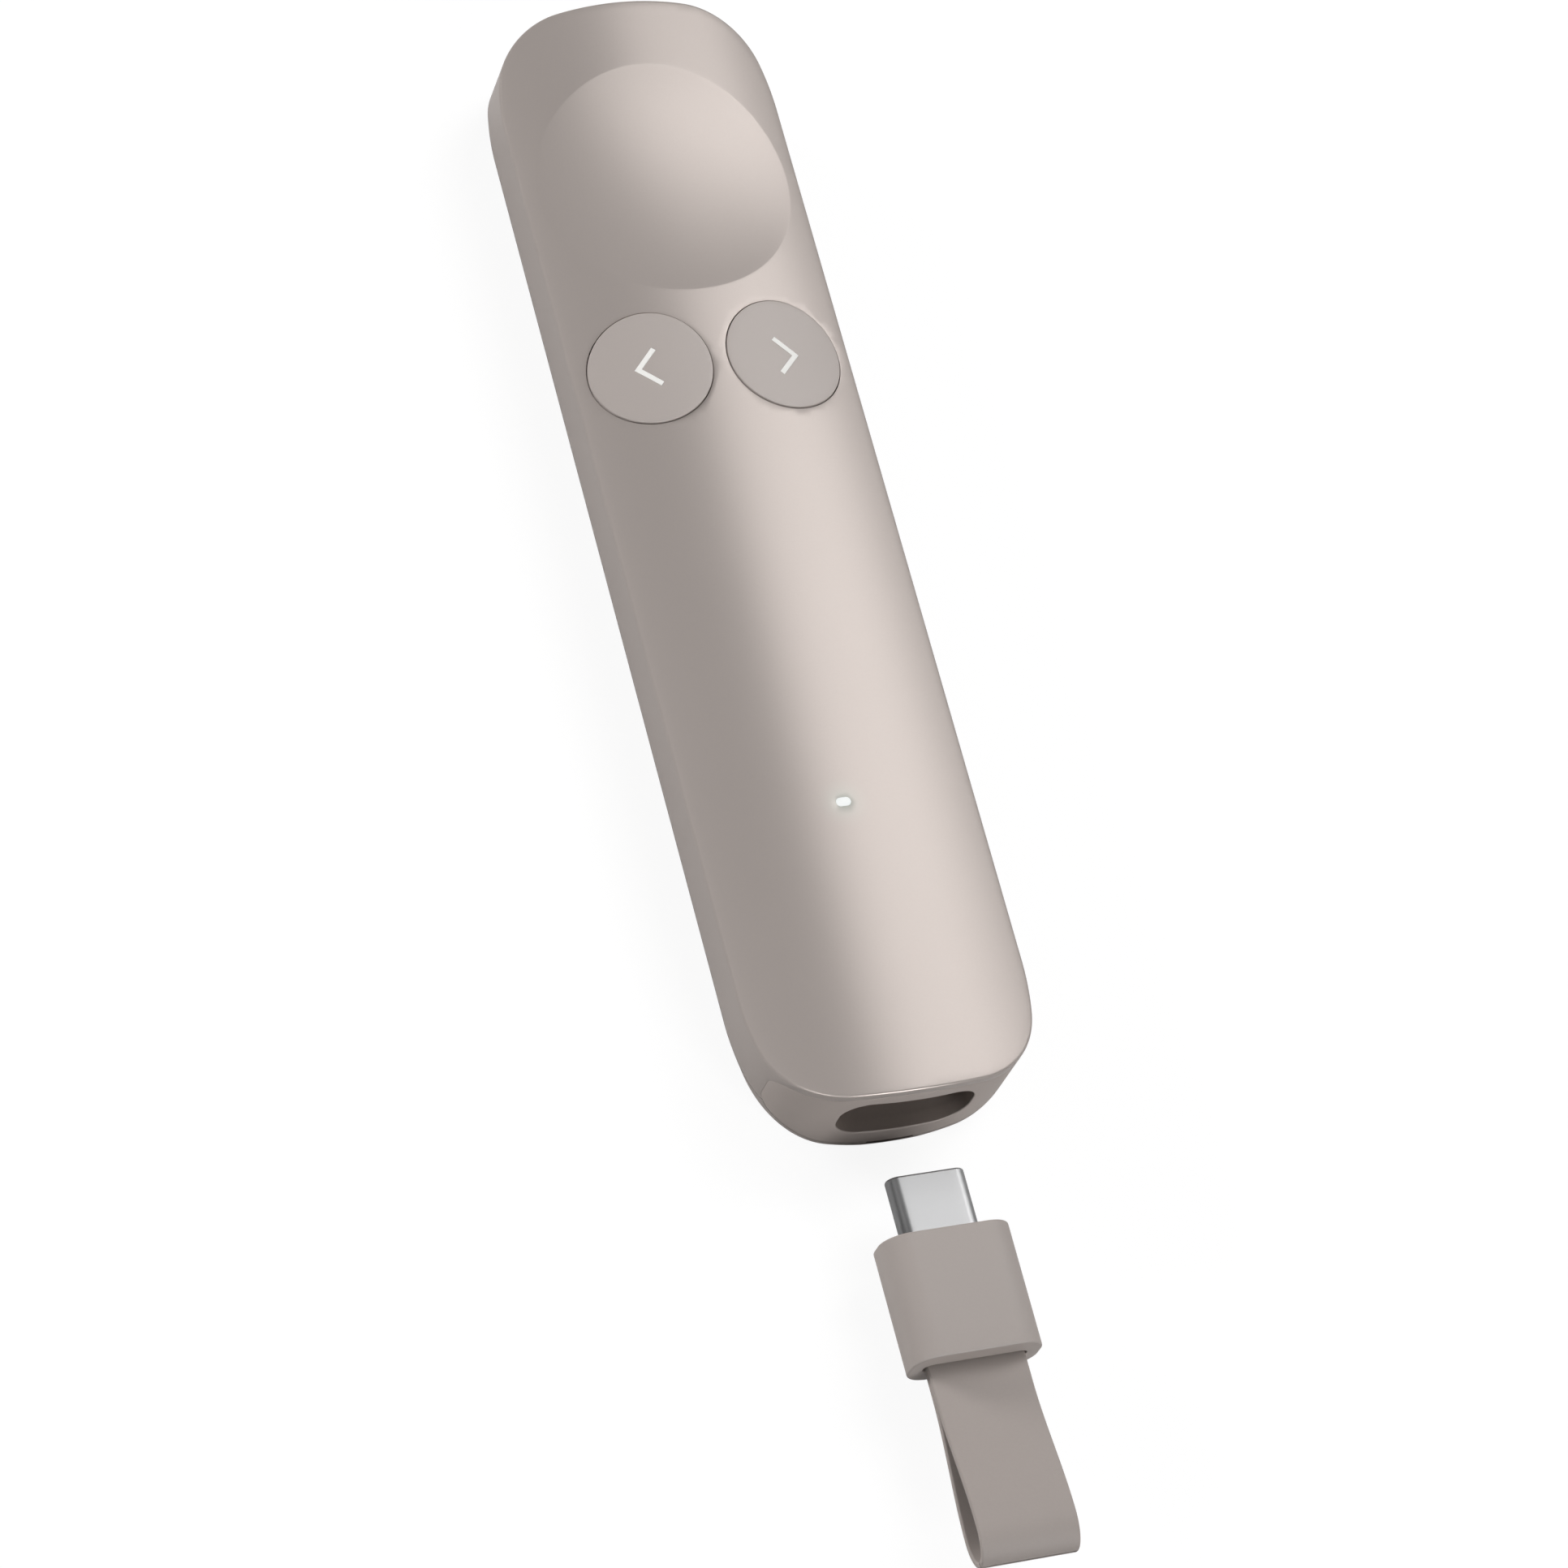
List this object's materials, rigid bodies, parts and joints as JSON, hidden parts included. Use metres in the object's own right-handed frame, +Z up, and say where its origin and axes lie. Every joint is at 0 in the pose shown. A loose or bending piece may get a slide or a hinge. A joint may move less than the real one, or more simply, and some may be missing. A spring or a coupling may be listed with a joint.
{
  "type": "wireless presentation clicker",
  "caption": "Slim hand-held presentation clicker with a thumb dish, back and forward buttons, a status light and a plug-in receiver on a strap loop that stores in its tail.",
  "frame": {"origin": "middle of the narrow flat under the handset that it rests on", "axes": "+Y along the handset from its tail to its far end, +Z up through the buttons, +X to the forward button's side"},
  "size_m": [0.0304, 0.173, 0.0137],
  "materials": {
    "shell_satin": "warm grey-taupe, satin sheen, very fine moulded grain",
    "cap_satin": "same colour as the shell, a little smoother",
    "button_matte": "same taupe, matte",
    "pale_mark": "off-white moulded mark",
    "pale_light": "milky light-guiding plastic, glows white",
    "dark_liner": "dark grey, matte",
    "strap_elastomer": "taupe elastomer, matte",
    "bright_steel": "bright nickel-plated steel",
    "dark_contact": "black moulded resin",
    "inner_frame": "dark grey glass-filled resin",
    "green_board": "green solder mask",
    "foil_wrap": "foil pouch",
    "amber_ribbon": "amber film",
    "pale_ceramic": "glazed ceramic"
  },
  "bodies": {
    "handset": {"upper_shell": "shell_satin", "bottom_cover": "shell_satin", "end_cap": "cap_satin", "dock_sleeve": "dark_liner", "charging_socket": "bright_steel", "socket_tongue": "dark_contact", "chassis": "inner_frame", "main_board": "green_board", "board_screws": "bright_steel", "battery": "foil_wrap", "haptic_motor": "bright_steel", "touch_sensor": "green_board", "touch_flex": "amber_ribbon", "previous_switch": "dark_contact", "next_switch": "dark_contact", "status_light": "pale_light", "light_pipe": "pale_light", "radio_shield": "bright_steel", "antenna": "pale_ceramic", "power_chip": "dark_contact"},
    "previous_button": {"previous_button": "button_matte", "previous_chevron": "pale_mark"},
    "next_button": {"next_button": "button_matte", "next_chevron": "pale_mark"},
    "receiver": {"plug_shell": "bright_steel", "plug_insulator": "dark_contact", "receiver_housing": "button_matte", "receiver_nose": "button_matte", "receiver_board": "green_board", "receiver_chip": "dark_contact", "strap_loop": "strap_elastomer", "strap_pin": "bright_steel"}
  },
  "joints": [
    {"name": "previous_press", "type": "slide", "parent": "handset", "child": "previous_button", "axis": [0, 0, -1], "range_m": [0, 0.0004], "stiffness_N_per_m": 1500, "springref_m": -0.0003},
    {"name": "next_press", "type": "slide", "parent": "handset", "child": "next_button", "axis": [0, 0, -1], "range_m": [0, 0.0004], "stiffness_N_per_m": 1500, "springref_m": -0.0003},
    {"name": "receiver_slide", "type": "slide", "parent": "handset", "child": "receiver", "axis": [0, 1, 0], "range_m": [0, 0.02615]}
  ]
}
